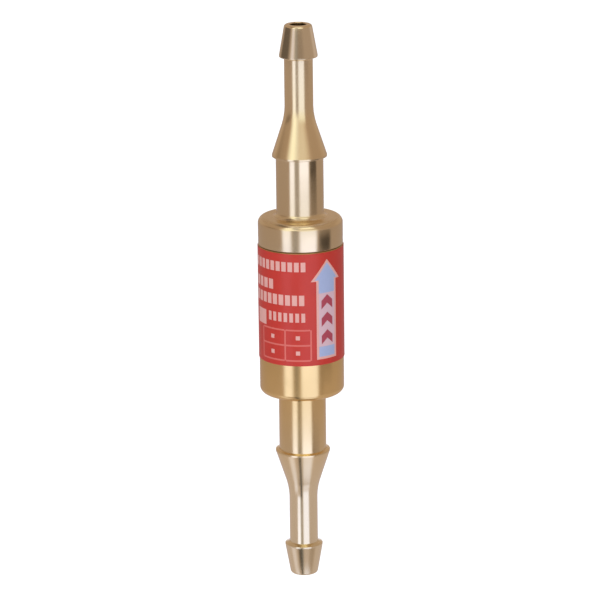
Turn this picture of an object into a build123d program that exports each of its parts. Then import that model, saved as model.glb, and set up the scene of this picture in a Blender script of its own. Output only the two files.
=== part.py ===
"""In-line flashback arrestor for gas hoses, with a stepped hose barb at each end.

The frame stands upright on the gas flow: +Z runs from the inlet to the outlet, and the origin is the
centre of the inlet's end face. All sizes are in millimetres.
"""

import os
from math import hypot

from build123d import *

# Stepped hose shank, the same at both ends. Lengths run from the body outwards.
gas_bore_diameter = 3.6
shaft_diameter = 10.3
shaft_length = 11.9
large_barb_diameter = 11.9
large_barb_back_length = 1.3
large_cone_length = 8.6
neck_diameter = 6.2
neck_length = 11.6
neck_blend_radius = 12.0
small_barb_diameter = 8.25
small_barb_back_length = 1.1
tip_cone_length = 6.6
tip_diameter = 5.9
tip_edge_rounding = 0.6
tip_mouth_chamfer = 0.15
barb_land_length = 0.4

# Body and outlet cap
body_diameter = 18.4
body_length = 39.4
body_edge_rounding = 1.4
body_wall = 2.0
body_floor_thickness = 4.4
cap_height = 6.1
cap_roof_thickness = 3.4
spigot_wall = 1.15
spigot_lead_chamfer = 0.4
seam_chamfer = 0.2
cavity_chamfer = 0.8

# Printed film round the body
label_height = 24.9
label_thickness = 0.12
label_top_margin = 0.2
label_end_gap = 0.5

# Fits
stack_clearance = 0.05
thread_clearance = 0.05
seal_clearance = 0.02
stem_clearance = 0.05

# Rubber rings, drawn as they sit, squeezed in their grooves
cap_seal_width = 0.8
cap_seal_height = 1.3
seat_seal_width = 1.2
seat_seal_height = 1.3
seal_chamfer = 0.3

# Inlet strainer
filter_diameter = 8.2
filter_thickness = 0.35
filter_ring_thickness = 0.55
filter_ring_width = 1.0
filter_hole_size = 0.5
filter_hole_pitch = 0.85

# Valve seat
seat_height = 3.2
seat_port_diameter = 4.4
seat_port_entry = 0.8
seat_lip_height = 0.6
seat_lip_width = 0.8
seat_groove_depth = 1.2
seat_groove_height = 1.5

# Poppet with its rubber disc
poppet_stroke = 1.8
poppet_head_diameter = 9.0
poppet_head_thickness = 1.2
poppet_rim_height = 0.6
poppet_rim_width = 0.45
poppet_edge_chamfer = 0.25
poppet_disc_thickness = 1.0
nose_diameter = 2.0
nose_overhang = 0.2
stem_diameter = 2.2
stem_end_chamfer = 0.3
stem_overhang = 0.2
retainer_diameter = 3.8
retainer_thickness = 1.0

# Spring and the guide that carries it
spring_length = 5.1
spring_wire = 0.5
spring_mean_diameter = 5.5
spring_turns = 4.5
spring_wire_sides = 6
guide_wall = 1.05
guide_roof_thickness = 1.4
guide_boss_diameter = 4.6
guide_stop_gap = 0.05
guide_port_count = 6
guide_port_diameter = 2.0
guide_port_circle = 8.7
guide_inner_chamfer = 0.5

# Flame arrestor
gasket_thickness = 0.5
gasket_width = 1.5
holder_height = 3.0
holder_floor = 1.0
holder_opening_diameter = 6.2
sinter_diameter = 9.2
sinter_wall = 1.5
sinter_length = 11.0
sinter_top_gap = 1.4
sinter_edge_chamfer = 0.8

# Radii
gas_bore_radius = gas_bore_diameter / 2
body_radius = body_diameter / 2
body_bore_radius = body_radius - body_wall
stack_radius = body_bore_radius - stack_clearance
spigot_radius = body_bore_radius - thread_clearance
cavity_radius = spigot_radius - spigot_wall
filter_radius = filter_diameter / 2
filter_recess_radius = filter_radius + stack_clearance
cap_seal_recess_radius = spigot_radius + cap_seal_width + 2 * seal_clearance
seat_port_radius = seat_port_diameter / 2
seat_groove_radius = stack_radius - seat_groove_depth
nose_radius = nose_diameter / 2
stem_radius = stem_diameter / 2
poppet_head_radius = poppet_head_diameter / 2
poppet_recess_radius = poppet_head_radius - poppet_rim_width
guide_inner_radius = stack_radius - guide_wall
guide_boss_radius = guide_boss_diameter / 2
guide_bore_radius = stem_radius + stem_clearance
sinter_radius = sinter_diameter / 2

# Heights along the flow, from the inlet's end face
shank_length = (
    shaft_length
    + large_barb_back_length
    + barb_land_length
    + large_cone_length
    + neck_length
    + small_barb_back_length
    + barb_land_length
    + tip_cone_length
)
body_bottom = shank_length
body_top = body_bottom + body_length
seam_height = body_top - cap_height
body_floor = body_bottom + body_floor_thickness
filter_floor = body_floor - filter_ring_thickness - filter_thickness
seat_top = body_floor + seat_height
lip_top = seat_top + seat_lip_height
disc_top = lip_top + poppet_disc_thickness
head_top = disc_top + poppet_head_thickness
boss_bottom = head_top + poppet_stroke + guide_stop_gap
guide_roof = head_top + spring_length
guide_top = guide_roof + guide_roof_thickness
cavity_roof = body_top - cap_roof_thickness
sinter_top = cavity_roof - sinter_top_gap
sinter_bottom = sinter_top - sinter_length
holder_bottom = sinter_bottom - holder_floor
holder_top = holder_bottom + holder_height
spigot_end = holder_top + gasket_thickness
sleeve_top = holder_bottom - gasket_thickness


def shank_corners(shoulder, outward):
    """Corners of a stepped hose shank as (radius, height, rounding), from the shoulder into the bore's mouth.

    outward is 1 where the shank points up and -1 where it points down.
    """
    steps = [
        (0, shaft_diameter, 0),
        (shaft_length, shaft_diameter, 0),
        (large_barb_back_length, large_barb_diameter, 0),
        (barb_land_length, large_barb_diameter, 0),
        (large_cone_length, neck_diameter, neck_blend_radius),
        (neck_length, neck_diameter, 0),
        (small_barb_back_length, small_barb_diameter, 0),
        (barb_land_length, small_barb_diameter, 0),
        (tip_cone_length, tip_diameter, tip_edge_rounding),
        (0, gas_bore_diameter + 2 * tip_mouth_chamfer, 0),
        (-tip_mouth_chamfer, gas_bore_diameter, 0),
    ]
    corners = []
    height = shoulder
    for length, diameter, rounding in steps:
        height += outward * length
        corners.append((diameter / 2, height, rounding))
    return corners


def turned_outline(corners):
    """Draw a closed half section through (radius, height, rounding) corners."""
    points = [(radius, height) for radius, height, _ in corners]
    roundings = [rounding for _, _, rounding in corners]
    FilletPolyline(*points, radius=roundings, close=True)


def ring_outline(inner, outer, bottom, top):
    """Draw the half section of a plain ring."""
    turned_outline([(inner, bottom, 0), (outer, bottom, 0), (outer, top, 0), (inner, top, 0)])


# Lower half: cup-shaped body and inlet shank, turned from one bar
with BuildPart() as inlet_body:
    with BuildSketch(Plane.XZ):
        with BuildLine():
            turned_outline(
                [
                    *reversed(shank_corners(body_bottom, -1)),
                    (body_radius, body_bottom, body_edge_rounding),
                    (body_radius, seam_height - seam_chamfer, 0),
                    (body_radius - seam_chamfer, seam_height, 0),
                    (cap_seal_recess_radius, seam_height, 0),
                    (cap_seal_recess_radius, seam_height - cap_seal_height - seal_clearance, 0),
                    (body_bore_radius, seam_height - cap_seal_height - seal_clearance, 0),
                    (body_bore_radius, body_floor, 0),
                    (filter_recess_radius, body_floor, 0),
                    (filter_recess_radius, filter_floor, 0),
                    (gas_bore_radius, filter_floor, 0),
                ]
            )
        make_face()
    revolve(axis=Axis.Z)
inlet_body.part.label = "inlet_body"

# Upper half: shoulder, outlet shank and the spigot that screws into the body
with BuildPart() as outlet_cap:
    with BuildSketch(Plane.XZ):
        with BuildLine():
            turned_outline(
                [
                    *reversed(shank_corners(body_top, 1)),
                    (body_radius, body_top, body_edge_rounding),
                    (body_radius, seam_height + seam_chamfer, 0),
                    (body_radius - seam_chamfer, seam_height, 0),
                    (spigot_radius, seam_height, 0),
                    (spigot_radius, spigot_end + spigot_lead_chamfer, 0),
                    (spigot_radius - spigot_lead_chamfer, spigot_end, 0),
                    (cavity_radius, spigot_end, 0),
                    (cavity_radius, cavity_roof - cavity_chamfer, 0),
                    (cavity_radius - cavity_chamfer, cavity_roof, 0),
                    (gas_bore_radius, cavity_roof, 0),
                ]
            )
        make_face()
    revolve(axis=Axis.Z)
outlet_cap.part.label = "outlet_cap"

# Rubber ring in the body's mouth, under the cap's shoulder
with BuildPart() as cap_o_ring:
    with BuildSketch(Plane.XZ) as cap_seal_section:
        ring_radius = spigot_radius + seal_clearance + cap_seal_width / 2
        with Locations((ring_radius, seam_height - seal_clearance - cap_seal_height / 2)):
            Rectangle(cap_seal_width, cap_seal_height - seal_clearance)
        chamfer(cap_seal_section.vertices(), seal_chamfer)
    revolve(axis=Axis.Z)
cap_o_ring.part.label = "cap_o_ring"

# Film wrapped round the body, its ends nearly meeting at the back
with BuildPart() as label:
    with BuildSketch(Plane.XY.offset(seam_height - label_top_margin - label_height)):
        Circle(body_radius + label_thickness)
        Circle(body_radius, mode=Mode.SUBTRACT)
        with Locations((0, body_radius)):
            Rectangle(label_end_gap, 4 * label_thickness, mode=Mode.SUBTRACT)
    extrude(amount=label_height)
label.part.label = "label"

# Strainer disc with a grid of square holes inside its rim
with BuildPart() as inlet_filter:
    with BuildSketch(Plane.XY.offset(filter_floor)):
        Circle(filter_radius)
    extrude(amount=filter_thickness)
    filter_open_radius = filter_radius - filter_ring_width
    holes_across = 2 * int(filter_open_radius / filter_hole_pitch) + 1
    with BuildSketch(Plane.XY.offset(filter_floor)):
        with GridLocations(filter_hole_pitch, filter_hole_pitch, holes_across, holes_across) as grid:
            hole_centres = [
                place.position
                for place in grid.local_locations
                if hypot(place.position.X, place.position.Y) + filter_hole_size < filter_open_radius
            ]
        with Locations(*hole_centres):
            Rectangle(filter_hole_size, filter_hole_size)
    extrude(amount=filter_thickness, mode=Mode.SUBTRACT)
inlet_filter.part.label = "inlet_filter"

# Ring that holds the strainer down in its recess
with BuildPart() as filter_ring:
    with BuildSketch(Plane.XZ):
        with BuildLine():
            ring_outline(
                filter_radius - filter_ring_width,
                filter_radius,
                filter_floor + filter_thickness,
                body_floor,
            )
        make_face()
    revolve(axis=Axis.Z)
filter_ring.part.label = "filter_ring"

# Seat bush with a flared port, a raised lip and a groove for its rubber ring
groove_middle = body_floor + seat_height / 2
groove_bottom = groove_middle - seat_groove_height / 2
groove_top = groove_middle + seat_groove_height / 2
with BuildPart() as valve_seat:
    with BuildSketch(Plane.XZ):
        with BuildLine():
            turned_outline(
                [
                    (seat_port_radius + seat_port_entry, body_floor, 0),
                    (stack_radius, body_floor, 0),
                    (stack_radius, groove_bottom, 0),
                    (seat_groove_radius, groove_bottom, 0),
                    (seat_groove_radius, groove_top, 0),
                    (stack_radius, groove_top, 0),
                    (stack_radius, seat_top, 0),
                    (seat_port_radius + seat_lip_width, seat_top, 0),
                    (seat_port_radius + seat_lip_width, lip_top, 0),
                    (seat_port_radius, lip_top, 0),
                    (seat_port_radius, body_floor + seat_port_entry, 0),
                ]
            )
        make_face()
    revolve(axis=Axis.Z)
valve_seat.part.label = "valve_seat"

# Rubber ring in the seat bush's groove
with BuildPart() as seat_o_ring:
    with BuildSketch(Plane.XZ) as seat_seal_section:
        with Locations((seat_groove_radius + seal_clearance + seat_seal_width / 2, groove_middle)):
            Rectangle(seat_seal_width, seat_seal_height)
        chamfer(seat_seal_section.vertices(), seal_chamfer)
    revolve(axis=Axis.Z)
seat_o_ring.part.label = "seat_o_ring"

# Poppet: nose, head with a rim round the rubber disc, and stem
stem_top = guide_top + stem_overhang
with BuildPart() as valve_poppet:
    with BuildSketch(Plane.XZ):
        with BuildLine():
            turned_outline(
                [
                    (0, lip_top - retainer_thickness - nose_overhang, 0),
                    (nose_radius, lip_top - retainer_thickness - nose_overhang, 0),
                    (nose_radius, disc_top, 0),
                    (poppet_recess_radius, disc_top, 0),
                    (poppet_recess_radius, disc_top - poppet_rim_height, 0),
                    (poppet_head_radius, disc_top - poppet_rim_height, 0),
                    (poppet_head_radius, head_top - poppet_edge_chamfer, 0),
                    (poppet_head_radius - poppet_edge_chamfer, head_top, 0),
                    (stem_radius, head_top, 0),
                    (stem_radius, stem_top - stem_end_chamfer, 0),
                    (stem_radius - stem_end_chamfer, stem_top, 0),
                    (0, stem_top, 0),
                ]
            )
        make_face()
    revolve(axis=Axis.Z)
valve_poppet.part.label = "valve_poppet"

# Rubber disc that closes on the seat's lip
with BuildPart() as poppet_seal:
    with BuildSketch(Plane.XZ):
        with BuildLine():
            ring_outline(
                nose_radius + seal_clearance,
                poppet_recess_radius - seal_clearance,
                lip_top,
                disc_top,
            )
        make_face()
    revolve(axis=Axis.Z)
poppet_seal.part.label = "poppet_seal"

# Collar riveted on the poppet's nose, inside the seat's port, to hold the disc
with BuildPart() as seal_retainer:
    with BuildSketch(Plane.XZ):
        with BuildLine():
            ring_outline(
                nose_radius,
                retainer_diameter / 2,
                lip_top - retainer_thickness,
                lip_top,
            )
        make_face()
    revolve(axis=Axis.Z)
seal_retainer.part.label = "seal_retainer"

# Closing spring, its ends ground flat on the poppet's head and under the guide's roof.
# The wire is drawn with a few flat sides to keep the coil light.
wire_radius = spring_wire / 2
coil_height = spring_length - wire_radius
with BuildPart() as return_spring:
    with BuildLine() as coil:
        Helix(
            pitch=coil_height / spring_turns,
            height=coil_height,
            radius=spring_mean_diameter / 2,
            center=(0, 0, head_top + wire_radius / 2),
        )
    with BuildSketch(Plane(origin=coil.line @ 0, z_dir=coil.line % 0)):
        RegularPolygon(wire_radius, spring_wire_sides)
    sweep(is_frenet=True)
    split(bisect_by=Plane.XY.offset(head_top), keep=Keep.TOP)
    split(bisect_by=Plane.XY.offset(guide_roof), keep=Keep.BOTTOM)
return_spring.part.label = "return_spring"

# Guide: a cage over the poppet, with a boss for the stem and gas ports round it
with BuildPart() as valve_guide:
    with BuildSketch(Plane.XZ):
        with BuildLine():
            turned_outline(
                [
                    (guide_bore_radius, boss_bottom, 0),
                    (guide_boss_radius, boss_bottom, 0),
                    (guide_boss_radius, guide_roof, 0),
                    (guide_inner_radius - guide_inner_chamfer, guide_roof, 0),
                    (guide_inner_radius, guide_roof - guide_inner_chamfer, 0),
                    (guide_inner_radius, seat_top, 0),
                    (stack_radius, seat_top, 0),
                    (stack_radius, guide_top, 0),
                    (guide_bore_radius, guide_top, 0),
                ]
            )
        make_face()
    revolve(axis=Axis.Z)
    with Locations(Plane.XY.offset(guide_top)):
        with PolarLocations(guide_port_circle / 2, guide_port_count):
            Hole(guide_port_diameter / 2, depth=guide_roof_thickness)
valve_guide.part.label = "valve_guide"

# Sleeve that keeps the guide and the flame arrestor apart
with BuildPart() as spacer_sleeve:
    with BuildSketch(Plane.XZ):
        with BuildLine():
            ring_outline(guide_inner_radius, stack_radius, guide_top, sleeve_top)
        make_face()
    revolve(axis=Axis.Z)
spacer_sleeve.part.label = "spacer_sleeve"

# Holder: the sintered thimble stands in its socket
with BuildPart() as sinter_holder:
    with BuildSketch(Plane.XZ):
        with BuildLine():
            turned_outline(
                [
                    (holder_opening_diameter / 2, holder_bottom, 0),
                    (stack_radius, holder_bottom, 0),
                    (stack_radius, holder_top, 0),
                    (sinter_radius + stack_clearance, holder_top, 0),
                    (sinter_radius + stack_clearance, sinter_bottom, 0),
                    (holder_opening_diameter / 2, sinter_bottom, 0),
                ]
            )
        make_face()
    revolve(axis=Axis.Z)
sinter_holder.part.label = "sinter_holder"

# Sintered thimble, open at the bottom and closed at the top
with BuildPart() as sinter_element:
    with BuildSketch(Plane.XZ):
        with BuildLine():
            turned_outline(
                [
                    (0, sinter_top - sinter_wall, 0),
                    (sinter_radius - sinter_wall, sinter_top - sinter_wall, 0),
                    (sinter_radius - sinter_wall, sinter_bottom, 0),
                    (sinter_radius, sinter_bottom, 0),
                    (sinter_radius, sinter_top - sinter_edge_chamfer, 0),
                    (sinter_radius - sinter_edge_chamfer, sinter_top, 0),
                    (0, sinter_top, 0),
                ]
            )
        make_face()
    revolve(axis=Axis.Z)
sinter_element.part.label = "sinter_element"

# Flat gaskets under and over the holder
gaskets = {"lower_gasket": sleeve_top, "upper_gasket": holder_top}
gasket_parts = []
for gasket_name, gasket_bottom in gaskets.items():
    with BuildPart() as gasket:
        with BuildSketch(Plane.XY.offset(gasket_bottom)):
            Circle(stack_radius)
            Circle(stack_radius - gasket_width, mode=Mode.SUBTRACT)
        extrude(amount=gasket_thickness)
    gasket.part.label = gasket_name
    gasket_parts.append(gasket.part)

pieces = [
    inlet_body.part,
    outlet_cap.part,
    cap_o_ring.part,
    label.part,
    inlet_filter.part,
    filter_ring.part,
    valve_seat.part,
    seat_o_ring.part,
    valve_poppet.part,
    poppet_seal.part,
    seal_retainer.part,
    return_spring.part,
    valve_guide.part,
    spacer_sleeve.part,
    sinter_holder.part,
    sinter_element.part,
    *gasket_parts,
]

os.makedirs("parts", exist_ok=True)
for piece in pieces:
    export_step(piece, f"parts/{piece.label}.step")
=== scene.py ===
"""Looks of an in-line flashback arrestor: bright turned brass, printed film, valve and flame barrier.

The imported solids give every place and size. This file turns the brass finely, wraps and prints the
film, winds the closing spring, gives each inner piece its finish and sets up the studio.
"""

import math

import bmesh
import bpy
from bpy.props import FloatProperty, FloatVectorProperty, PointerProperty
from mathutils import Matrix, Vector


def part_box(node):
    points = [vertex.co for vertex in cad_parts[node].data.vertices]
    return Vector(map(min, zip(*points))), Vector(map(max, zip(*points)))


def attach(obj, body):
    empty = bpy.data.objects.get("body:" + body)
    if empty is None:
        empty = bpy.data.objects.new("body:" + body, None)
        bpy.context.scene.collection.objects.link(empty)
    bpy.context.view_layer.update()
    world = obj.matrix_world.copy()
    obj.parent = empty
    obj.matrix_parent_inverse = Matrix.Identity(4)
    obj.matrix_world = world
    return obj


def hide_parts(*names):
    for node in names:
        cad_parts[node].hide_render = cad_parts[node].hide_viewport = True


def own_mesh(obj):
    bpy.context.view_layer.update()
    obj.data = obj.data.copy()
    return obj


bl_info = {
    "name": "Flashback Arrestor",
    "version": (1, 0, 0),
    "blender": (4, 5, 0),
    "location": "View3D > Sidebar > Arrestor",
    "description": "Turned brass hose fitting with a printed film, a sprung poppet and a flame barrier",
    "category": "Add Mesh",
}

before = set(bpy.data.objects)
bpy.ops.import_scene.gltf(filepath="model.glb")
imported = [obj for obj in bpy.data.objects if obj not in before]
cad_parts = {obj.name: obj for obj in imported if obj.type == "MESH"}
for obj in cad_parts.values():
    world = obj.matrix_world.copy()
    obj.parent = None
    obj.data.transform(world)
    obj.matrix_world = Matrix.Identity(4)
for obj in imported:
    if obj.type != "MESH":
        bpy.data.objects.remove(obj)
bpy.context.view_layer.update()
# A millimetre in metres
MM = 0.001
TURN = 2 * math.pi
# Steps round every turned piece
AROUND = 144


def low(node):
    """Lowest height of a solid."""
    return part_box(node)[0].z


def high(node):
    """Highest height of a solid."""
    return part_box(node)[1].z


def reach(node):
    """Outer radius of a turned solid."""
    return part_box(node)[1].x


BODY_RADIUS = reach("inlet_body")
SEAM = high("inlet_body")
FILM_LOW = low("label")
FILM_HIGH = high("label")
FILM_RADIUS = reach("label")
TOTAL = high("outlet_cap")


def length(name, text, millimetres):
    """A length that a user may change, in metres, with its default in millimetres."""
    return FloatProperty(
        name=name,
        description=text,
        default=millimetres * MM,
        min=0.0,
        unit="LENGTH",
        subtype="DISTANCE",
    )


def angle(name, text, degrees):
    """An angle that a user may change, with its default in degrees."""
    return FloatProperty(
        name=name,
        description=text,
        default=math.radians(degrees),
        unit="ROTATION",
        subtype="ANGLE",
    )


def hex_to_linear(code):
    """Turn an sRGB hex value into the linear colour that shaders take."""
    values = [int(code[i : i + 2], 16) / 255 for i in (0, 2, 4)]
    return tuple(v / 12.92 if v <= 0.04045 else ((v + 0.055) / 1.055) ** 2.4 for v in values)


def colour(name, text, code):
    """A colour that a user may change, with its default as an sRGB hex value."""
    return FloatVectorProperty(
        name=name,
        description=text,
        default=hex_to_linear(code),
        min=0.0,
        max=1.0,
        size=3,
        subtype="COLOR",
    )


class ArrestorShank(bpy.types.PropertyGroup):
    """Stepped hose shank, the same at both ends, from the shoulder outwards.

    The photograph shows the barbs' backs nearly square, so they are steeper here than on the solids, and
    stay inside them.
    """

    bore: length("Gas bore", "Diameter of the bore through the shank", 3.6)
    shaft: length("Shaft", "Diameter of the shaft next to the body", 10.3)
    shaft_length: length("Shaft length", "From the shoulder to the large barb", 13.0)
    shaft_root: length("Shaft root", "Rounding where the shaft meets the shoulder", 1.1)
    large_barb: length("Large barb", "Diameter over the large barb", 11.9)
    large_back: length("Large barb back", "Length of the large barb's back slope", 0.2)
    large_cone: length("Large cone", "Length of the large barb's cone", 8.6)
    land: length("Barb land", "Length of each barb's flat crest", 0.4)
    neck: length("Neck", "Diameter of the neck between the barbs", 6.2)
    neck_length: length("Neck length", "From the cone to the small barb", 12.3)
    neck_blend: length("Neck blend", "Rounding where the cone runs into the neck", 12.0)
    small_barb: length("Small barb", "Diameter over the small barb", 8.25)
    small_back: length("Small barb back", "Length of the small barb's back slope", 0.4)
    tip_cone: length("Tip cone", "Length of the small barb's cone", 6.6)
    tip: length("Tip", "Diameter of the shank's end", 5.9)
    tip_rounding: length("Tip rounding", "Rounding of the shank's end", 0.6)
    mouth: length("Bore mouth", "Chamfer at the mouth of the bore", 0.15)


class ArrestorBody(bpy.types.PropertyGroup):
    """Body and cap that hold the valve and the flame barrier."""

    edge_rounding: length("Edge rounding", "Rounding of the body's outer edges", 1.4)
    edge_break: length("Edge break", "Small rounding of every other turned edge", 0.08)
    seam_chamfer: length("Seam chamfer", "Chamfer of both edges at the joint", 0.2)
    fit: length("Fit", "Clearance of the pieces stacked inside", 0.05)
    spigot_wall: length("Spigot wall", "Wall of the cap's screwed spigot", 1.15)
    spigot_lead: length("Spigot lead", "Chamfer at the spigot's end", 0.4)
    cavity_chamfer: length("Cavity chamfer", "Chamfer at the top of the cap's cavity", 0.8)
    cap_roof: length("Cap roof", "Brass between the cap's cavity and its shoulder", 3.4)
    ring_gap: length("Ring gap", "Gap between a rubber ring and its groove", 0.02)
    film_end_gap: length("Film gap", "Gap between the film's ends at the back", 0.5)
    film_edge: length("Film edge", "Small rounding of the film's outer edges", 0.03)
    spring_wire: length("Spring wire", "Diameter of the closing spring's wire", 0.5)
    spring_turns: FloatProperty(
        name="Spring turns",
        description="Number of turns of the closing spring",
        default=4.5,
        min=1.0,
    )


class ArrestorPrint(bpy.types.PropertyGroup):
    """Plain print on the film: heights and depths are from the body's middle, angles from its front."""

    arrow: angle("Arrow", "Where the flow arrow's middle line lies", 36.5)
    arrow_tip: length("Arrow tip", "Height of the flow arrow's point", 11.9)
    arrow_barb: length("Arrow barb", "Height of the arrowhead's lower corners", 7.2)
    arrow_tail: length("Arrow tail", "Depth of the flow arrow's lower end", 10.2)
    head_width: length("Head width", "Width of the arrowhead", 7.7)
    shaft_width: length("Arrow shaft width", "Width of the flow arrow's shaft", 5.2)
    rim: length("Arrow rim", "Width of the pale rim round the flow arrow", 0.55)
    blue_head: length("Blue head", "Height at which the arrowhead's blue ends", 4.5)
    blue_tail: length("Blue tail", "Depth at which the tail's blue begins", 7.4)
    chevron_width: length("Chevron width", "Width of the chevrons inside the flow arrow", 2.9)
    chevron_rise: length("Chevron rise", "Rise of each chevron from its ends to its point", 1.3)
    chevron_bar: length("Chevron bar", "Height of the bar that each chevron is bent from", 1.9)
    chevron_pitch: length("Chevron pitch", "Distance between the chevrons", 3.9)
    chevron_start: length("Chevron start", "Depth of the lowest chevron", 6.9)
    frame_left: angle("Frame left", "Left side of the empty grid", -61)
    frame_middle: angle("Frame middle", "Upright line inside the empty grid", -22.5)
    frame_right: angle("Frame right", "Right side of the empty grid", 12.5)
    frame_top: length("Frame top", "Depth of the empty grid's upper line", 3.5)
    frame_bottom: length("Frame bottom", "Depth of the empty grid's lower line", 10.3)
    frame_line: length("Frame line", "Width of the empty grid's lines", 0.35)
    dot: length("Dot", "Size of the dot in each cell", 0.9)


class ArrestorColours(bpy.types.PropertyGroup):
    """Colours of the brass, the film and its print."""

    cap_brass: colour("Cap brass", "Pale brass of the outlet cap", "F0DAAE")
    # The end tones are painted reflection: they copy how the surroundings mirrored in the brass change
    # along the shanks. The body's deeper gold is partly painted warm reflection too.
    cap_end_reflection: colour("Cap rubbed", "Brass rubbed by hoses on the outlet shank", "F0DCB2")
    body_brass: colour("Body brass", "Golden brass of the inlet body", "F5D18C")
    body_end_reflection: colour("Body rubbed", "Brass rubbed by hoses on the inlet shank", "F0DEB4")
    inner_brass: colour("Inner brass", "Brass of the pieces inside", "E3BC7C")
    # Darker brown along the joint between body and cap
    joint_brown: colour("Stain", "Brown of the residue in the joint", "7A5A3C")
    film: colour("Film", "Red of the printed film", "C8382F")
    pale_ink: colour("Pale ink", "Pale print on the film", "E8AEA8")
    frame_ink: colour("Frame ink", "Salmon lines of the frames on the film", "DC6E66")
    arrow_ink: colour("Arrow ink", "Blue inside the flow arrow", "A9B6DE")
    lilac_ink: colour("Lilac ink", "Lilac behind the marks inside the flow arrow", "DCB9C6")
    chevron_ink: colour("Chevron ink", "Red marks inside the flow arrow", "B0485A")


class ArrestorStage(bpy.types.PropertyGroup):
    """Camera and floor."""

    elevation: angle("Elevation", "Angle at which the camera looks down", 15.5)
    roll: angle("Roll", "Lean of the fitting in the picture", 0.68)
    distance: length("Distance", "From the camera to the middle of the body", 770.0)
    lens: FloatProperty(name="Lens", description="Focal length", default=213.0, min=1.0, unit="CAMERA")
    floor_drop: length("Floor drop", "Depth of the floor below the fitting", 600.0)


def settings():
    """The five groups of values kept on the scene."""
    scene = bpy.context.scene
    return (
        scene.arrestor_shank,
        scene.arrestor_body,
        scene.arrestor_print,
        scene.arrestor_colours,
        scene.arrestor_stage,
    )


def node(tree, kind, inputs=None, **fields):
    """Add one shader node, set its fields, and fill its sockets from values or other nodes' outputs."""
    made = tree.nodes.new(kind)
    for field, value in fields.items():
        setattr(made, field, value)
    for socket, value in (inputs or {}).items():
        if isinstance(value, bpy.types.NodeSocket):
            tree.links.new(value, made.inputs[socket])
        else:
            made.inputs[socket].default_value = value
    return made


def maths(tree, operation, *values):
    """Output of one step of arithmetic on numbers or other nodes' outputs."""
    return node(tree, "ShaderNodeMath", dict(enumerate(values)), operation=operation).outputs[0]


def ramp(tree, value, start, end, first=0.0, last=1.0, smooth=False):
    """Output that goes from first to last while the value goes from start to end."""
    made = node(
        tree,
        "ShaderNodeMapRange",
        {"Value": value, "From Min": start, "From Max": end, "To Min": first, "To Max": last},
        interpolation_type="SMOOTHSTEP" if smooth else "LINEAR",
    )
    return made.outputs["Result"]


def rgba(linear):
    """A shader colour with full alpha."""
    return (*linear, 1.0)


def blend(tree, factor, first, second):
    """Output of a mix of two colours, each a linear colour or another node's output."""
    first, second = (v if isinstance(v, bpy.types.NodeSocket) else rgba(v) for v in (first, second))
    made = node(tree, "ShaderNodeMix", {"Factor": factor, "A": first, "B": second}, data_type="RGBA")
    return made.outputs["Result"]


def bumped(tree, height, depth, strength=1.0):
    """Output of a bump of that depth in millimetres."""
    made = node(
        tree,
        "ShaderNodeBump",
        {"Height": height, "Strength": strength, "Distance": depth * MM},
    )
    return made.outputs["Normal"]


def start_material(name, **values):
    """A new material with its shader node; values are sockets that are the same all over the surface."""
    material = bpy.data.materials.new(name)
    material.use_nodes = True
    shader = material.node_tree.nodes["Principled BSDF"]
    for socket, value in values.items():
        shader.inputs[socket.replace("_", " ")].default_value = value
    return material, material.node_tree, shader


def drive(tree, shader, **outputs):
    """Link other nodes' outputs to the shader's sockets."""
    for socket, output in outputs.items():
        tree.links.new(output, shader.inputs[socket.replace("_", " ")])


def per_size(millimetres):
    """Noise scale whose grain is about that size, on Object coordinates in metres."""
    return 1 / (millimetres * MM)


def across_turning(tree, parts):
    """Height plus radius, which runs across the tool marks on walls and end faces alike."""
    flat = node(tree, "ShaderNodeCombineXYZ", {0: parts["X"], 1: parts["Y"]}).outputs[0]
    radius = node(tree, "ShaderNodeVectorMath", {0: flat}, operation="LENGTH").outputs["Value"]
    return maths(tree, "ADD", parts["Z"], radius)


def turned_brass(name, tone, end_reflection=None, joint_brown=None, roughness=0.18):
    """Free-cutting brass, turned and polished: clear warm mirror with faint rings from the tool.

    Handled areas are a little duller and browner. Towards the shank's end the brass may turn to another
    tone, a painted reflection of the surroundings it mirrors there; the argument after the tone holds it
    and the two heights between which it comes in. The brass turns darker brown and duller right at the
    joint between body and cap.
    """
    material, tree, shader = start_material(name, Metallic=1.0)
    coordinates = node(tree, "ShaderNodeTexCoord").outputs
    place = coordinates["Object"]
    parts = node(tree, "ShaderNodeSeparateXYZ", {0: place}).outputs
    height = parts["Z"]
    # Tool marks are about 0.1 mm apart, drawn at 0.5 mm so that they show
    rings = node(
        tree,
        "ShaderNodeTexNoise",
        {"W": across_turning(tree, parts), "Scale": per_size(0.5), "Detail": 2.0},
        noise_dimensions="1D",
    ).outputs["Fac"]
    # Handling marks, a few millimetres across
    patches = node(
        tree,
        "ShaderNodeTexNoise",
        {"Vector": place, "Scale": per_size(7.0), "Detail": 3.0},
    ).outputs["Fac"]
    metal = blend(tree, patches, tone, [v * 0.86 for v in tone])
    # Painted reflection: towards the shank's end the tone shifts to the end tone, copying the
    # surroundings mirrored there
    if end_reflection:
        pale, start, end = end_reflection
        metal = blend(tree, ramp(tree, height, start, end, smooth=True), metal, pale)
    polish = ramp(tree, patches, 0.35, 0.7, roughness * 0.85, roughness * 1.3)
    # Flat end faces keep coarser marks than the walls, so they are duller
    facing = node(tree, "ShaderNodeSeparateXYZ", {0: coordinates["Normal"]}).outputs["Z"]
    flat = maths(tree, "POWER", maths(tree, "MULTIPLY", facing, facing), 4.0)
    dull = maths(tree, "ADD", polish, maths(tree, "MULTIPLY", flat, 0.15))
    # Darker brown and duller within a fraction of a millimetre of the joint
    if joint_brown:
        away = maths(tree, "ABSOLUTE", maths(tree, "SUBTRACT", height, SEAM))
        near = ramp(tree, away, 0.05 * MM, 0.25 * MM, 0.8, 0.0)
        metal = blend(tree, near, metal, joint_brown)
        dull = maths(tree, "ADD", dull, maths(tree, "MULTIPLY", near, 0.5))
    drive(tree, shader, Base_Color=metal, Roughness=dull, Normal=bumped(tree, rings, 0.004, 0.25))
    return material


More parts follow.
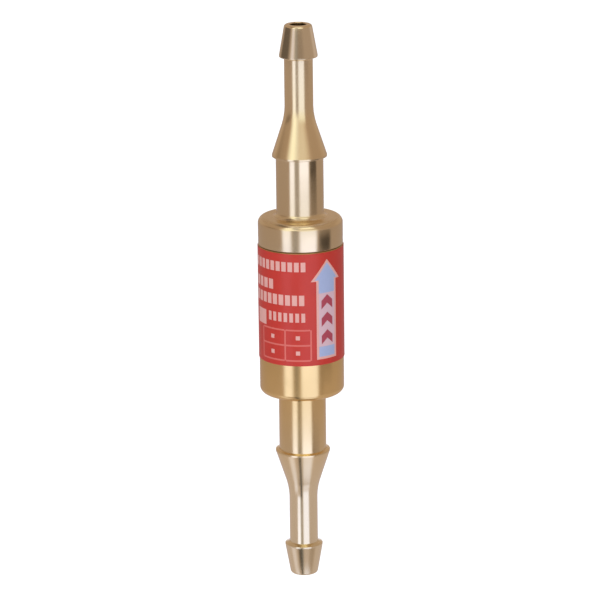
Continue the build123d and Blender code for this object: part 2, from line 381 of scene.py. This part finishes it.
def mottled(name, tone, shade, grain, depth, roughness, **values):
    """Shared build of the plainer finishes: two close tones and a fine bump from one noise."""
    material, tree, shader = start_material(name, Roughness=roughness, **values)
    place = node(tree, "ShaderNodeTexCoord").outputs["Object"]
    grains = node(
        tree,
        "ShaderNodeTexNoise",
        {"Vector": place, "Scale": per_size(grain), "Detail": 3.0},
    ).outputs["Fac"]
    tones = blend(tree, grains, tone, shade)
    drive(tree, shader, Base_Color=tones, Normal=bumped(tree, grains, depth, 0.4))
    return material


def polyester_film(name, tone):
    """Polyester label film, gloss laminated: even red, soft sheen, faint waves from pressing it on."""
    return mottled(name, tone, [v * 0.9 for v in tone], 2.5, 0.004, 0.34, Specular_IOR_Level=0.3)


def printed_ink(name, tone):
    """Screen-printed ink under laminate: solid colour with slightly uneven cover."""
    return mottled(name, tone, [v * 0.92 for v in tone], 0.6, 0.001, 0.36, Specular_IOR_Level=0.3)


def moulded_nitrile(name):
    """Nitrile rubber, compression moulded: near black, matt with a slight oily sheen."""
    return mottled(name, hex_to_linear("1C1C1E"), hex_to_linear("26262A"), 0.4, 0.004, 0.52)


def woven_stainless(name):
    """Fine stainless strainer, woven and rolled flat: grey wires crossing each other."""
    material, tree, shader = start_material(name, Metallic=1.0, Roughness=0.32)
    place = node(tree, "ShaderNodeTexCoord").outputs["Object"]
    # Wires 0.14 mm apart, drawn at that size; one wave is 0.314 over its scale
    waves = [
        node(
            tree,
            "ShaderNodeTexWave",
            {"Vector": place, "Scale": 0.314 / (0.14 * MM)},
            bands_direction=direction,
        ).outputs["Fac"]
        for direction in ("X", "Y")
    ]
    crossed = maths(tree, "MAXIMUM", *waves)
    tones = blend(tree, crossed, hex_to_linear("6E6E70"), hex_to_linear("B9B9BA"))
    drive(tree, shader, Base_Color=tones, Normal=bumped(tree, crossed, 0.02))
    return material


def drawn_spring_steel(name):
    """Stainless spring wire, drawn and tempered: grey mirror with a straw tint."""
    light = hex_to_linear("B4B0A6")
    dark = hex_to_linear("9A948A")
    return mottled(name, light, dark, 0.8, 0.002, 0.22, Metallic=1.0)


def sintered_stainless(name):
    """Stainless powder, pressed and sintered: matt grey with open grains."""
    material, tree, shader = start_material(name, Metallic=1.0, Roughness=0.55)
    place = node(tree, "ShaderNodeTexCoord").outputs["Object"]
    # Powder grains of about 0.15 mm
    grains = node(tree, "ShaderNodeTexVoronoi", {"Vector": place, "Scale": per_size(0.15)})
    raised = maths(tree, "SUBTRACT", 1.0, grains.outputs["Distance"])
    tones = blend(tree, raised, hex_to_linear("4C4A48"), hex_to_linear("9C9894"))
    drive(tree, shader, Base_Color=tones, Normal=bumped(tree, raised, 0.05))
    return material


def pressed_fibre(name):
    """Vulcanised fibre gasket, punched from sheet: red-brown, matt, with a paper grain."""
    return mottled(name, hex_to_linear("7A4632"), hex_to_linear("5E3426"), 0.35, 0.006, 0.7)


def object_from(name, bm, material):
    """Turn a bmesh into an object with that one material."""
    mesh = bpy.data.meshes.new(name)
    bm.to_mesh(mesh)
    bm.free()
    mesh.materials.append(material)
    obj = bpy.data.objects.new(name, mesh)
    bpy.context.scene.collection.objects.link(obj)
    return obj


def finish_piece(name, bm, material):
    """Close a bmesh into an object with smooth walls and clean edges, and give it its material."""
    bmesh.ops.remove_doubles(bm, verts=bm.verts, dist=0.002 * MM)
    bmesh.ops.recalc_face_normals(bm, faces=bm.faces)
    obj = object_from(name, bm, material)
    obj.data.shade_smooth()
    obj.data.set_sharp_from_angle(angle=math.radians(40))
    return obj


def half_section(corners):
    """Draw the closed half section through (radius, height, rounding) corners and round its corners."""
    bm = bmesh.new()
    verts = [bm.verts.new((radius, 0, height)) for radius, height, _ in corners]
    bm.faces.new(verts)
    count = len(verts)
    jobs = []
    for i, (_, _, rounding) in enumerate(corners):
        before = (verts[i].co - verts[i - 1].co).normalized()
        after = (verts[(i + 1) % count].co - verts[i].co).normalized()
        turn = before.angle(after)
        if rounding > 0 and turn > 0.01:
            jobs.append((verts[i], rounding * math.tan(turn / 2), turn))
    for vert, offset, turn in jobs:
        bmesh.ops.bevel(
            bm,
            geom=[vert],
            offset=offset,
            offset_type="OFFSET",
            segments=max(2, math.ceil(turn / math.radians(9))),
            profile=0.5,
            affect="VERTICES",
            material=-1,
        )
    bmesh.ops.delete(bm, geom=bm.faces[:], context="FACES_ONLY")
    return bm


def turn_section(bm):
    """Spin a half section into a solid of revolution about the flow axis."""
    bmesh.ops.spin(
        bm,
        geom=[*bm.verts, *bm.edges],
        cent=(0, 0, 0),
        axis=(0, 0, 1),
        dvec=(0, 0, 0),
        angle=TURN,
        steps=AROUND,
        use_merge=True,
        use_normal_flip=False,
        use_duplicate=False,
    )


def shank_corners(shoulder, outward, shank, edge):
    """Corners of the hose shank as (radius, height, rounding), from the shoulder to the bore's mouth."""
    steps = [
        (0, shank.shaft, shank.shaft_root),
        (shank.shaft_length, shank.shaft, edge),
        (shank.large_back, shank.large_barb, edge),
        (shank.land, shank.large_barb, edge),
        (shank.large_cone, shank.neck, shank.neck_blend),
        (shank.neck_length, shank.neck, edge),
        (shank.small_back, shank.small_barb, edge),
        (shank.land, shank.small_barb, edge),
        (shank.tip_cone, shank.tip, shank.tip_rounding),
        (0, shank.bore + 2 * shank.mouth, 0),
        (-shank.mouth, shank.bore, 0),
    ]
    corners = []
    height = shoulder
    for step, diameter, rounding in steps:
        height += outward * step
        corners.append((diameter / 2, height, rounding))
    return corners


def body_shoulders(shank):
    """Heights of the lower and upper shoulders of the body, where the shanks start."""
    lengths = (
        shank.shaft_length,
        shank.large_back,
        shank.land,
        shank.large_cone,
        shank.neck_length,
        shank.small_back,
        shank.land,
        shank.tip_cone,
    )
    return sum(lengths), TOTAL - sum(lengths)


class ARRESTOR_OT_inlet_body(bpy.types.Operator):
    """Turn the cup-shaped inlet body with its hose shank"""

    bl_idname = "arrestor.inlet_body"
    bl_label = "Inlet Body"

    def execute(self, context):
        shank, body, _, colours, _ = settings()
        shoulder, _ = body_shoulders(shank)
        edge = body.edge_break
        recess = reach("cap_o_ring") + body.ring_gap
        recess_floor = low("cap_o_ring") - body.ring_gap / 2
        bore = reach("valve_guide") + body.fit
        floor = low("valve_seat")
        filter_bore = reach("inlet_filter") + body.fit
        filter_floor = low("inlet_filter")
        corners = [
            *reversed(shank_corners(shoulder, -1, shank, edge)),
            (BODY_RADIUS, shoulder, body.edge_rounding),
            (BODY_RADIUS, SEAM - body.seam_chamfer, edge),
            (BODY_RADIUS - body.seam_chamfer, SEAM, 0),
            (recess, SEAM, 0),
            (recess, recess_floor, 0),
            (bore, recess_floor, edge),
            (bore, floor, 0),
            (filter_bore, floor, edge),
            (filter_bore, filter_floor, 0),
            (shank.bore / 2, filter_floor, 0),
        ]
        bm = half_section(corners)
        turn_section(bm)
        # Painted reflection: golden brass near the body, paler towards the shank's end
        end_reflection = (colours.body_end_reflection, shoulder + 0.2 * shank.shaft_length, 0.4 * shoulder)
        brass = turned_brass("turned_brass_body", colours.body_brass, end_reflection, colours.joint_brown)
        piece = finish_piece("turned_inlet_body", bm, brass)
        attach(piece, "housing")
        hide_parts("inlet_body")
        return {"FINISHED"}


class ARRESTOR_OT_outlet_cap(bpy.types.Operator):
    """Turn the outlet cap with its hose shank and screwed spigot"""

    bl_idname = "arrestor.outlet_cap"
    bl_label = "Outlet Cap"

    def execute(self, context):
        shank, body, _, colours, _ = settings()
        _, shoulder = body_shoulders(shank)
        edge = body.edge_break
        spigot_end = low("outlet_cap")
        spigot = reach("valve_guide")
        cavity = spigot - body.spigot_wall
        roof = shoulder - body.cap_roof
        corners = [
            *reversed(shank_corners(shoulder, 1, shank, edge)),
            (BODY_RADIUS, shoulder, body.edge_rounding),
            (BODY_RADIUS, SEAM + body.seam_chamfer, edge),
            (BODY_RADIUS - body.seam_chamfer, SEAM, 0),
            (spigot, SEAM, 0),
            (spigot, spigot_end + body.spigot_lead, edge),
            (spigot - body.spigot_lead, spigot_end, edge),
            (cavity, spigot_end, edge),
            (cavity, roof - body.cavity_chamfer, edge),
            (cavity - body.cavity_chamfer, roof, edge),
            (shank.bore / 2, roof, 0),
        ]
        bm = half_section(corners)
        turn_section(bm)
        # Painted reflection: the cap's tone shifts towards the shank's end
        end_reflection = (colours.cap_end_reflection, shoulder, TOTAL - 0.2 * (TOTAL - shoulder))
        brass = turned_brass("turned_brass_cap", colours.cap_brass, end_reflection, colours.joint_brown)
        piece = finish_piece("turned_outlet_cap", bm, brass)
        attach(piece, "housing")
        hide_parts("outlet_cap")
        return {"FINISHED"}


class ARRESTOR_OT_film(bpy.types.Operator):
    """Wrap the red film round the body, its ends nearly meeting at the back"""

    bl_idname = "arrestor.film"
    bl_label = "Film"

    def execute(self, context):
        _, body, _, colours, _ = settings()
        bm = half_section(
            [
                (BODY_RADIUS, FILM_LOW, 0),
                (FILM_RADIUS, FILM_LOW, body.film_edge),
                (FILM_RADIUS, FILM_HIGH, body.film_edge),
                (BODY_RADIUS, FILM_HIGH, 0),
            ]
        )
        gap = body.film_end_gap / FILM_RADIUS
        start = Matrix.Rotation(math.pi / 2 + gap / 2, 3, "Z")
        bmesh.ops.rotate(bm, verts=bm.verts, cent=(0, 0, 0), matrix=start)
        ends = [bm.edges[:]]
        spun = bmesh.ops.spin(
            bm,
            geom=[*bm.verts, *bm.edges],
            cent=(0, 0, 0),
            axis=(0, 0, 1),
            dvec=(0, 0, 0),
            angle=TURN - gap,
            steps=AROUND,
            use_merge=False,
            use_normal_flip=False,
            use_duplicate=False,
        )
        ends.append([e for e in spun["geom_last"] if isinstance(e, bmesh.types.BMEdge)])
        for loop in ends:
            bmesh.ops.contextual_create(bm, geom=loop)
        piece = finish_piece("label_film", bm, polyester_film("polyester_film", colours.film))
        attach(piece, "housing")
        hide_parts("label")
        return {"FINISHED"}


def add_patch(bm, outline):
    """Add one flat printed shape to a drawing, from its outline, cut into narrow upright strips."""
    verts = [bm.verts.new((x, y, 0)) for x, y in outline]
    face = bm.faces.new(verts)
    left = min(x for x, _ in outline)
    right = max(x for x, _ in outline)
    strip = 0.6 * MM
    geom = [face, *face.edges, *face.verts]
    for i in range(1, math.ceil((right - left) / strip)):
        cut = bmesh.ops.bisect_plane(
            bm,
            geom=geom,
            dist=1e-9,
            plane_co=(left + i * strip, 0, 0),
            plane_no=(1, 0, 0),
        )
        geom = cut["geom"]


def wrap_drawing(bm, lift, middle):
    """Wrap a flat drawing round the film: x runs to the right of the front, y up from the middle."""
    radius = FILM_RADIUS + lift
    for vert in bm.verts:
        turn = vert.co.x / FILM_RADIUS
        vert.co = Vector((radius * math.sin(turn), -radius * math.cos(turn), middle + vert.co.y))


def box_outline(left, right, bottom, top):
    """Outline of a plain rectangle."""
    return [(left, bottom), (right, bottom), (right, top), (left, top)]


def arc(turn):
    """Arc length on the film at an angle to the right of the front."""
    return turn * FILM_RADIUS


def arrow_outline(drawn, inset, bottom):
    """Outline of the flow arrow, drawn in by about the inset all round, down to that height."""
    x = arc(drawn.arrow)
    half_head = drawn.head_width / 2 - 1.6 * inset
    half_shaft = drawn.shaft_width / 2 - inset
    tip = drawn.arrow_tip - 1.3 * inset
    barb = drawn.arrow_barb + 0.45 * inset
    return [
        (x - half_shaft, bottom),
        (x + half_shaft, bottom),
        (x + half_shaft, barb),
        (x + half_head, barb),
        (x, tip),
        (x - half_head, barb),
        (x - half_shaft, barb),
    ]


# Rows of plain blocks in place of the printed lines: from and to in degrees right of the front, bottom
# and top in millimetres from the body's middle, block and gap in millimetres. The first is a plain badge
PRINT_ROWS = (
    (-75.5, -54, -3.0, 0.3, 3.5, 0.0),
    (-88, 6, 9.5, 11.6, 1.05, 0.4),
    (-88, -40, 5.3, 7.5, 1.05, 0.4),
    (-88, 4, 2.0, 4.3, 1.05, 0.4),
    (-48.5, 5, -1.7, 0.3, 0.8, 0.5),
)


def row_outlines():
    """Outlines of the blocks of every row."""
    outlines = []
    for start, end, bottom, top, block, gap in PRINT_ROWS:
        left, right = arc(math.radians(start)), arc(math.radians(end))
        count = max(1, round((right - left) / MM / (block + gap)))
        pitch = (right - left + gap * MM) / count
        for i in range(count):
            x = left + i * pitch
            outlines.append(box_outline(x, x + pitch - gap * MM, bottom * MM, top * MM))
    return outlines


def frame_outlines(drawn):
    """Outlines of the empty grid's lines and of the dots in its four cells."""
    line = drawn.frame_line
    columns = [arc(turn) for turn in (drawn.frame_left, drawn.frame_middle, drawn.frame_right)]
    levels = [-drawn.frame_bottom, -(drawn.frame_top + drawn.frame_bottom) / 2, -drawn.frame_top]
    lines = [box_outline(x - line / 2, x + line / 2, levels[0], levels[2]) for x in columns]
    half = drawn.dot / 2
    dots = []
    for left, right in zip(columns, columns[1:]):
        for y in levels:
            lines.append(box_outline(left + line / 2, right - line / 2, y - line / 2, y + line / 2))
        for low_line, high_line in zip(levels, levels[1:]):
            x, y = (left + right) / 2, (low_line + high_line) / 2
            dots.append(box_outline(x - half, x + half, y - half, y + half))
    return lines, dots


def chevron_outlines(drawn):
    """Outlines of the three chevrons that point along the flow."""
    x, half = arc(drawn.arrow), drawn.chevron_width / 2
    outlines = []
    for i in range(3):
        y = i * drawn.chevron_pitch - drawn.chevron_start
        lower = [(x - half, y), (x, y + drawn.chevron_rise), (x + half, y)]
        upper = [(px, py + drawn.chevron_bar) for px, py in reversed(lower)]
        outlines.append(lower + upper)
    return outlines


class ARRESTOR_OT_print(bpy.types.Operator):
    """Print the flow arrow, the plain rows and the empty grid on the film"""

    bl_idname = "arrestor.print"
    bl_label = "Print"

    def execute(self, context):
        shank, _, drawn, colours, _ = settings()
        middle = sum(body_shoulders(shank)) / 2
        lines, dots = frame_outlines(drawn)
        x = arc(drawn.arrow)
        half = drawn.shaft_width / 2 - drawn.rim
        tail = drawn.rim - drawn.arrow_tail
        pale = [arrow_outline(drawn, 0.0, -drawn.arrow_tail), *row_outlines(), *dots]
        blue = [
            arrow_outline(drawn, drawn.rim, drawn.blue_head),
            box_outline(x - half, x + half, tail, -drawn.blue_tail),
        ]
        lilac = [box_outline(x - half, x + half, -drawn.blue_tail, drawn.blue_head)]
        # Name, outlines, colour and height above the film in millimetres
        inks = (
            ("print_lines", lines, colours.frame_ink, 0.005),
            ("print_pale", pale, colours.pale_ink, 0.01),
            ("print_arrow", blue, colours.arrow_ink, 0.02),
            ("print_arrow_middle", lilac, colours.lilac_ink, 0.02),
            ("print_chevrons", chevron_outlines(drawn), colours.chevron_ink, 0.03),
        )
        for name, outlines, tone, lift in inks:
            bm = bmesh.new()
            for outline in outlines:
                add_patch(bm, outline)
            wrap_drawing(bm, lift * MM, middle)
            piece = finish_piece(name, bm, printed_ink(name + "_ink", tone))
            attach(piece, "housing")
        return {"FINISHED"}


class ARRESTOR_OT_spring(bpy.types.Operator):
    """Wind the closing spring from round wire and grind its ends flat"""

    bl_idname = "arrestor.spring"
    bl_label = "Spring"

    def execute(self, context):
        bottom, top = low("return_spring"), high("return_spring")
        body = settings()[1]
        wire = body.spring_wire / 2
        steps = round(body.spring_turns * 36)
        rise = top - bottom - wire
        bm = bmesh.new()
        bmesh.ops.create_circle(bm, cap_ends=False, segments=12, radius=wire)
        upright = Matrix.Rotation(math.pi / 2, 3, "X")
        bmesh.ops.rotate(bm, verts=bm.verts, cent=(0, 0, 0), matrix=upright)
        start = (reach("return_spring") - wire, 0, bottom + wire / 2)
        bmesh.ops.translate(bm, verts=bm.verts, vec=start)
        bmesh.ops.spin(
            bm,
            geom=[*bm.verts, *bm.edges],
            cent=(0, 0, 0),
            axis=(0, 0, 1),
            dvec=(0, 0, rise / steps),
            angle=TURN * body.spring_turns,
            steps=steps,
            use_merge=False,
            use_normal_flip=False,
            use_duplicate=False,
        )
        bmesh.ops.holes_fill(bm, edges=[e for e in bm.edges if e.is_boundary], sides=0)
        for height, way in ((bottom, -1), (top, 1)):
            bmesh.ops.bisect_plane(
                bm,
                geom=[*bm.verts, *bm.edges, *bm.faces],
                dist=1e-9,
                plane_co=(0, 0, height),
                plane_no=(0, 0, way),
                clear_outer=True,
            )
            bmesh.ops.holes_fill(bm, edges=[e for e in bm.edges if e.is_boundary], sides=0)
        piece = finish_piece("closing_spring", bm, drawn_spring_steel("drawn_spring_steel"))
        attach(piece, "housing")
        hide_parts("return_spring")
        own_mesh(piece)
        return {"FINISHED"}


class ARRESTOR_OT_inner_pieces(bpy.types.Operator):
    """Give the valve, the seals and the flame barrier their finishes"""

    bl_idname = "arrestor.inner_pieces"
    bl_label = "Inner Pieces"

    def execute(self, context):
        colours = settings()[3]
        brass = turned_brass("turned_brass_inner", colours.inner_brass, roughness=0.2)
        rubber = moulded_nitrile("moulded_nitrile")
        fibre = pressed_fibre("pressed_fibre")
        finishes = {
            "cap_o_ring": rubber,
            "seat_o_ring": rubber,
            "poppet_seal": rubber,
            "inlet_filter": woven_stainless("woven_stainless"),
            "filter_ring": brass,
            "valve_seat": brass,
            "valve_poppet": brass,
            "seal_retainer": brass,
            "valve_guide": brass,
            "spacer_sleeve": brass,
            "sinter_holder": brass,
            "sinter_element": sintered_stainless("sintered_stainless"),
            "lower_gasket": fibre,
            "upper_gasket": fibre,
        }
        for name, material in finishes.items():
            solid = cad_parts[name]
            for material_slot in solid.material_slots:
                material_slot.material = material
        return {"FINISHED"}


def heading(azimuth, elevation):
    """Direction in degrees from the fitting: azimuth 0 is towards the camera, positive to its right."""
    a, e = math.radians(azimuth), math.radians(elevation)
    return Vector((math.sin(a) * math.cos(e), -math.cos(a) * math.cos(e), math.sin(e)))


def aim(obj, place, target):
    """Put an object at a place with its -Z side towards a target."""
    turned = (place - target).to_track_quat("Z", "Y").to_matrix().to_4x4()
    obj.matrix_world = Matrix.Translation(place) @ turned


# Softboxes: name; azimuth and elevation in degrees; distance, width and height in metres; brightness
SOFTBOXES = (
    ("softbox_left", -37.5, 0, 1.1, 0.56, 1.3, 1.7),
    ("softbox_right", 22, -15, 1.1, 1.14, 0.62, 1.7),
    ("softbox_top", 0, 88, 1.4, 1.2, 1.2, 0.8),
)


def softbox(target, name, azimuth, elevation, distance, width, height, brightness):
    """A softbox that lights matt and satin surfaces; the tent stands in for it in reflections."""
    lamp = bpy.data.lights.new(name, "AREA")
    lamp.shape = "RECTANGLE"
    lamp.size = width
    lamp.size_y = height
    lamp.energy = brightness * math.pi * width * height
    obj = bpy.data.objects.new(name, lamp)
    bpy.context.scene.collection.objects.link(obj)
    aim(obj, target + heading(azimuth, elevation) * distance, target)
    obj.visible_camera = False
    obj.visible_glossy = False


# Cloths that the fitting mirrors: a ball round it, and a sleeve round each tip
TENT_RADIUS = 300 * MM
SLEEVE_RADIUS = 22 * MM
UPPER_SLEEVE_DEPTH = 17 * MM
UPPER_SLEEVE_MIDDLE = TOTAL - 3.6 * MM
LOWER_SLEEVE_DEPTH = 16 * MM
LOWER_SLEEVE_MIDDLE = -8 * MM
# Brightness of the cloths where nothing is painted on them
PLAIN_CLOTH = 0.42
# What they show to the polished brass, painted in this order: azimuth, half width and soft edge;
# elevation, half height and soft edge, all in degrees; brightness
TENT_PATCHES = (
    (0, 180, 1, -48, 26, 10, 0.58),
    (0, 180, 1, -90, 17, 6, 0.38),
    (8, 30, 40, 20, 14, 5, 0.9),
    (-31, 17, 30, 22, 12, 5, 1.62),
    (-95, 30, 18, 11, 4, 6, 0.2),
    (180, 70, 40, 16, 12, 10, 0.5),
    (0, 180, 1, 43, 6, 6, 0.45),
    (-37, 12, 8, 48, 18, 6, 1.6),
    (21, 23, 9, 52, 16, 5, 1.55),
    (-13, 4, 8, 52, 16, 6, 0.5),
    (-75, 35, 20, 61, 8, 8, 0.26),
    (-14, 15, 24, 61, 8, 8, 1.05),
    (-60, 14, 20, -56, 17, 10, 1.02),
    (26, 26, 18, -59, 13, 8, 1.12),
    (-37, 12, 8, -10, 24, 8, 1.5),
    (21, 23, 9, 4, 14, 8, 1.33),
    (21, 23, 9, -16, 8, 6, 1.6),
    (21, 23, 9, -33, 11, 8, 1.35),
    (69, 18, 8, -13, 5, 5, 0.03),
    (54, 6, 10, -19, 4, 4, 0.3),
    (-13, 4, 6, -8, 18, 8, 0.4),
    (-16, 4, 7, -20, 4, 4, 0.3),
    (-17, 7, 9, -52, 22, 12, 0.08),
    (180, 14, 8, -16, 16, 8, 1.3),
    (0, 180, 1, 90, 16, 8, 0.9),
)
UPPER_SLEEVE_PATCHES = (
    (-86, 30, 18, 0, 90, 1, 0.14),
    (-33, 10, 14, 0, 90, 1, 0.95),
    (8, 20, 24, 0, 90, 1, 0.32),
    (115, 16, 20, 0, 90, 1, 0.58),
)
LOWER_SLEEVE_PATCHES = (
    (0, 180, 1, 0, 90, 1, 0.58),
    (-66, 14, 20, 0, 90, 1, 0.85),
    (-20, 15, 22, 0, 90, 1, 0.12),
    (52, 18, 24, 0, 90, 1, 0.4),
)


def painted_cloth(name, patches, overhead):
    """Grey cloth with soft bright panels and dark gaps: the brightness of each direction from inside.

    The share overhead says how far its upper part takes on the warm light from above.
    """
    material = bpy.data.materials.new(name)
    material.use_nodes = True
    tree = material.node_tree
    tree.nodes.clear()

    def near(value, middle, half, edge):
        """1 within half of the middle, falling softly to 0 across the edge."""
        off = maths(tree, "WRAP", maths(tree, "SUBTRACT", value, middle), 180.0, -180.0)
        away = maths(tree, "ABSOLUTE", off)
        return ramp(tree, away, half - edge / 2, half + edge / 2, 1.0, 0.0, smooth=True)

    place = node(tree, "ShaderNodeTexCoord").outputs["Object"]
    way = node(tree, "ShaderNodeVectorMath", {0: place}, operation="NORMALIZE").outputs[0]
    parts = node(tree, "ShaderNodeSeparateXYZ", {0: way}).outputs
    front = maths(tree, "MULTIPLY", parts["Y"], -1.0)
    azimuth = maths(tree, "DEGREES", maths(tree, "ARCTAN2", parts["X"], front))
    elevation = maths(tree, "DEGREES", maths(tree, "ARCSINE", parts["Z"]))
    level = PLAIN_CLOTH
    for turn, half_turn, turn_edge, rise, half_rise, rise_edge, brightness in patches:
        beside = near(azimuth, turn, half_turn, turn_edge)
        inside = maths(tree, "MULTIPLY", beside, near(elevation, rise, half_rise, rise_edge))
        painted = node(tree, "ShaderNodeMix", {"Factor": inside, "A": level, "B": brightness})
        level = painted.outputs["Result"]
    # The panels are cooler than the cloth, so that they burn out to cream in the brass and not to
    # yellow. What stands overhead is warmer, and what stands behind the camera is grey
    lit = ramp(tree, level, PLAIN_CLOTH, 1.2)
    warmth = maths(tree, "MULTIPLY", ramp(tree, elevation, -14.0, 12.0), overhead)
    behind = maths(tree, "MULTIPLY", near(azimuth, -13.0, 9.0, 12.0), maths(tree, "SUBTRACT", 1.0, lit))
    level_tint = blend(tree, lit, (1.0, 0.823, 0.78), (0.8, 0.869, 1.263))
    high_tint = blend(tree, lit, (1.06, 0.805, 0.65), (0.8, 0.823, 0.8))
    tint = blend(tree, behind, blend(tree, warmth, level_tint, high_tint), (0.97, 0.93, 1.02))
    face = node(tree, "ShaderNodeEmission", {"Color": tint, "Strength": level})
    node(tree, "ShaderNodeOutputMaterial", {"Surface": face.outputs[0]})
    return material


def reflected_cloth(name, middle, radius, depth, patches):
    """A painted cloth that only reflections see: a sleeve of that depth, or a whole ball without one."""
    bm = bmesh.new()
    if depth:
        bmesh.ops.create_cone(bm, segments=72, radius1=radius, radius2=radius, depth=depth)
    else:
        bmesh.ops.create_uvsphere(bm, u_segments=72, v_segments=36, radius=radius)
    obj = object_from(name, bm, painted_cloth(name, patches, 0.0 if depth else 1.0))
    obj.location.z = middle
    for ray in ("camera", "diffuse", "shadow", "transmission", "volume_scatter"):
        setattr(obj, f"visible_{ray}", False)


def share_seen(tree):
    """1 for what the camera, a mirror or a clear solid shows, and 0 for the light it throws."""
    path = node(tree, "ShaderNodeLightPath").outputs
    seen = maths(tree, "MAXIMUM", path["Is Camera Ray"], path["Is Glossy Ray"])
    return maths(tree, "MAXIMUM", seen, path["Is Transmission Ray"])


class ARRESTOR_OT_stage(bpy.types.Operator):
    """Set up the floor, the light tent, the softboxes and the camera"""

    bl_idname = "arrestor.stage"
    bl_label = "Stage"

    def execute(self, context):
        shank, _, _, _, stage = settings()
        lower, upper = body_shoulders(shank)
        centre = Vector((0, 0, (lower + upper) / 2))
        self.floor(stage)
        self.backdrop(context)
        self.tent(centre)
        self.lamps(centre)
        self.camera(context, stage, centre)
        return {"FINISHED"}

    def floor(self, stage):
        """Plain white floor below the fitting."""
        bm = bmesh.new()
        bmesh.ops.create_grid(bm, x_segments=1, y_segments=1, size=6.0)
        bmesh.ops.translate(bm, verts=bm.verts, vec=(0, 0, -stage.floor_drop))
        material, tree, shader = start_material("matt_white_board", Roughness=0.9)
        shader.inputs["Base Color"].default_value = rgba((0.85, 0.85, 0.85))
        shader.inputs["Emission Color"].default_value = rgba((1, 1, 1))
        drive(tree, shader, Emission_Strength=maths(tree, "MULTIPLY", share_seen(tree), 0.7))
        object_from("floor", bm, material)

    def backdrop(self, context):
        """White all round where it is looked at or mirrored, and a plain level of fill light besides."""
        world = bpy.data.worlds.new("white_backdrop")
        context.scene.world = world
        world.use_nodes = True
        tree = world.node_tree
        background = tree.nodes["Background"]
        background.inputs["Color"].default_value = rgba((1, 1, 1))
        drive(tree, background, Strength=ramp(tree, share_seen(tree), 0.0, 1.0, 0.5, 1.0))

    def tent(self, centre):
        """Light tent round the fitting, and a cloth sleeve round each end; only reflections see them."""
        sleeves = (
            ("upper_sleeve", UPPER_SLEEVE_MIDDLE, UPPER_SLEEVE_DEPTH, UPPER_SLEEVE_PATCHES),
            ("lower_sleeve", LOWER_SLEEVE_MIDDLE, LOWER_SLEEVE_DEPTH, LOWER_SLEEVE_PATCHES),
        )
        reflected_cloth("tent", centre.z, TENT_RADIUS, None, TENT_PATCHES)
        for name, middle, depth, patches in sleeves:
            reflected_cloth(name, middle, SLEEVE_RADIUS, depth, patches)

    def lamps(self, centre):
        """Two tall softboxes in front and one overhead."""
        for values in SOFTBOXES:
            softbox(centre, *values)

    def camera(self, context, stage, centre):
        """Camera at the photograph's height, distance and lean."""
        data = bpy.data.cameras.new("camera")
        data.lens = stage.lens
        data.sensor_width = 36.0
        data.clip_start = 0.01
        data.clip_end = 100.0
        obj = bpy.data.objects.new("camera", data)
        context.scene.collection.objects.link(obj)
        back = heading(0, math.degrees(stage.elevation))
        up = Vector((0, math.sin(stage.elevation), math.cos(stage.elevation)))
        # The body's middle lies a little right of and below the picture's middle
        target = centre - Vector((0.26 * MM, 0, 0)) + up * 0.75 * MM
        turned = back.to_track_quat("Z", "Y").to_matrix().to_4x4()
        lean = Matrix.Rotation(-stage.roll, 4, "Z")
        obj.matrix_world = Matrix.Translation(target + back * stage.distance) @ turned @ lean
        context.scene.camera = obj
        context.scene.view_settings.view_transform = "Standard"


OPERATORS = (
    ARRESTOR_OT_inlet_body,
    ARRESTOR_OT_outlet_cap,
    ARRESTOR_OT_film,
    ARRESTOR_OT_print,
    ARRESTOR_OT_spring,
    ARRESTOR_OT_inner_pieces,
    ARRESTOR_OT_stage,
)


class ARRESTOR_PT_sidebar(bpy.types.Panel):
    """List the arrestor's pieces and its stage"""

    bl_label = "Arrestor"
    bl_idname = "ARRESTOR_PT_sidebar"
    bl_space_type = "VIEW_3D"
    bl_region_type = "UI"
    bl_category = "Arrestor"

    def draw(self, context):
        for operator in OPERATORS:
            self.layout.operator(operator.bl_idname)


GROUPS = {
    "arrestor_shank": ArrestorShank,
    "arrestor_body": ArrestorBody,
    "arrestor_print": ArrestorPrint,
    "arrestor_colours": ArrestorColours,
    "arrestor_stage": ArrestorStage,
}


def register():
    """Register the classes and keep their values on the scene."""
    for cls in (*GROUPS.values(), *OPERATORS, ARRESTOR_PT_sidebar):
        bpy.utils.register_class(cls)
    for name, cls in GROUPS.items():
        setattr(bpy.types.Scene, name, PointerProperty(type=cls))


def unregister():
    """Take everything that register added away again."""
    for name in GROUPS:
        delattr(bpy.types.Scene, name)
    for cls in reversed((*GROUPS.values(), *OPERATORS, ARRESTOR_PT_sidebar)):
        bpy.utils.unregister_class(cls)


def main():
    """Build every piece and the stage."""
    register()
    for operator in OPERATORS:
        group, name = operator.bl_idname.split(".")
        result = getattr(getattr(bpy.ops, group), name)()
        if result != {"FINISHED"}:
            raise RuntimeError(f"{operator.bl_idname} did not finish")


if __name__ == "__main__":
    main()
